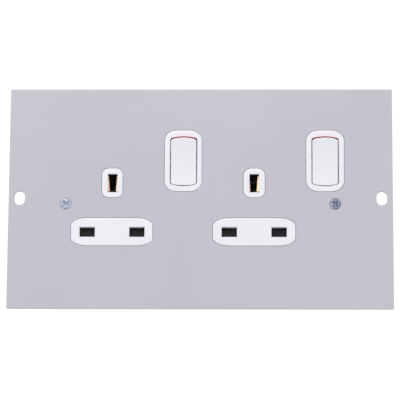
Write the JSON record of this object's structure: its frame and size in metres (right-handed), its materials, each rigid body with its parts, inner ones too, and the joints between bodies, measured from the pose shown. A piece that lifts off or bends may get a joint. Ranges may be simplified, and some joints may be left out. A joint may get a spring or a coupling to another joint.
{
  "type": "floor box socket module",
  "caption": "Twin switched outlet module for a floor box: flat grey steel plate over a white moulding with flush bosses, rocker switches, shutters and rear terminals.",
  "frame": {"origin": "centre of the plate in plan, on the flat back of the rear housing", "axes": "+X along the plate to the right, +Y towards the earth slots, +Z out of the face"},
  "size_m": [0.172, 0.1, 0.0306],
  "materials": {
    "plate_coat": "fine light grey powder coat, satin",
    "white_moulding": "white moulded thermoset, semi-gloss",
    "housing_moulding": "white moulded nylon, matt",
    "switch_white": "white moulded plastic, gloss",
    "flag_red": "red moulded plastic, gloss",
    "shutter_black": "black nylon, matt",
    "brass": "bare rolled brass",
    "zinc_steel": "bright zinc plate",
    "spring_steel": "bright spring wire",
    "silver_contact": "silver alloy, plain"
  },
  "bodies": {
    "module": {"earth_jaw_left": "brass", "earth_jaw_right": "brass", "earth_strap": "brass", "earth_terminal": "brass", "earth_terminal_screw": "zinc_steel", "fixed_contact_left": "silver_contact", "fixed_contact_right": "silver_contact", "front_moulding": "white_moulding", "housing_screws": "zinc_steel", "line_busbar": "brass", "line_jaw_left": "brass", "line_jaw_right": "brass", "line_link_left": "brass", "line_link_right": "brass", "line_terminal": "brass", "line_terminal_screw": "zinc_steel", "mounting_plate": "plate_coat", "neutral_busbar": "brass", "neutral_jaw_left": "brass", "neutral_jaw_right": "brass", "neutral_terminal": "brass", "neutral_terminal_screw": "zinc_steel", "plate_screw_left": "zinc_steel", "plate_screw_right": "zinc_steel", "rear_housing": "housing_moulding", "shutter_retainer_left": "housing_moulding", "shutter_retainer_right": "housing_moulding", "shutter_spring_left": "spring_steel", "shutter_spring_right": "spring_steel"},
    "left_rocker": {"rocker_left": "switch_white", "rocker_flag_left": "flag_red", "plunger_left": "switch_white", "plunger_spring_left": "spring_steel"},
    "left_blade": {"contact_blade_left": "brass", "moving_contact_left": "silver_contact"},
    "left_shutter": {"shutter_left": "shutter_black"},
    "right_rocker": {"rocker_right": "switch_white", "rocker_flag_right": "flag_red", "plunger_right": "switch_white", "plunger_spring_right": "spring_steel"},
    "right_blade": {"contact_blade_right": "brass", "moving_contact_right": "silver_contact"},
    "right_shutter": {"shutter_right": "shutter_black"}
  },
  "joints": [
    {"name": "left_rocker_tilt", "type": "hinge", "parent": "module", "child": "left_rocker", "pos_m": [-0.00765, 0.017, 0.025], "axis": [1, 0, 0], "range_deg": [-13, 0]},
    {"name": "left_blade_tilt", "type": "hinge", "parent": "module", "child": "left_blade", "pos_m": [-0.00765, 0.017, 0.016], "axis": [1, 0, 0], "range_deg": [0, 14]},
    {"name": "left_shutter_slide", "type": "slide", "parent": "module", "child": "left_shutter", "axis": [0, -1, 0], "range_m": [0, 0.005], "stiffness_N_per_m": 80, "springref_m": -0.003, "deforming": ["shutter_spring_left"]},
    {"name": "right_rocker_tilt", "type": "hinge", "parent": "module", "child": "right_rocker", "pos_m": [0.05585, 0.017, 0.025], "axis": [1, 0, 0], "range_deg": [-13, 0]},
    {"name": "right_blade_tilt", "type": "hinge", "parent": "module", "child": "right_blade", "pos_m": [0.05585, 0.017, 0.016], "axis": [1, 0, 0], "range_deg": [0, 14]},
    {"name": "right_shutter_slide", "type": "slide", "parent": "module", "child": "right_shutter", "axis": [0, -1, 0], "range_m": [0, 0.005], "stiffness_N_per_m": 80, "springref_m": -0.003, "deforming": ["shutter_spring_right"]}
  ],
  "couplings": [
    {"joint": "left_blade_tilt", "follows": "left_rocker_tilt", "ratio": -1.0769},
    {"joint": "right_blade_tilt", "follows": "right_rocker_tilt", "ratio": -1.0769}
  ]
}
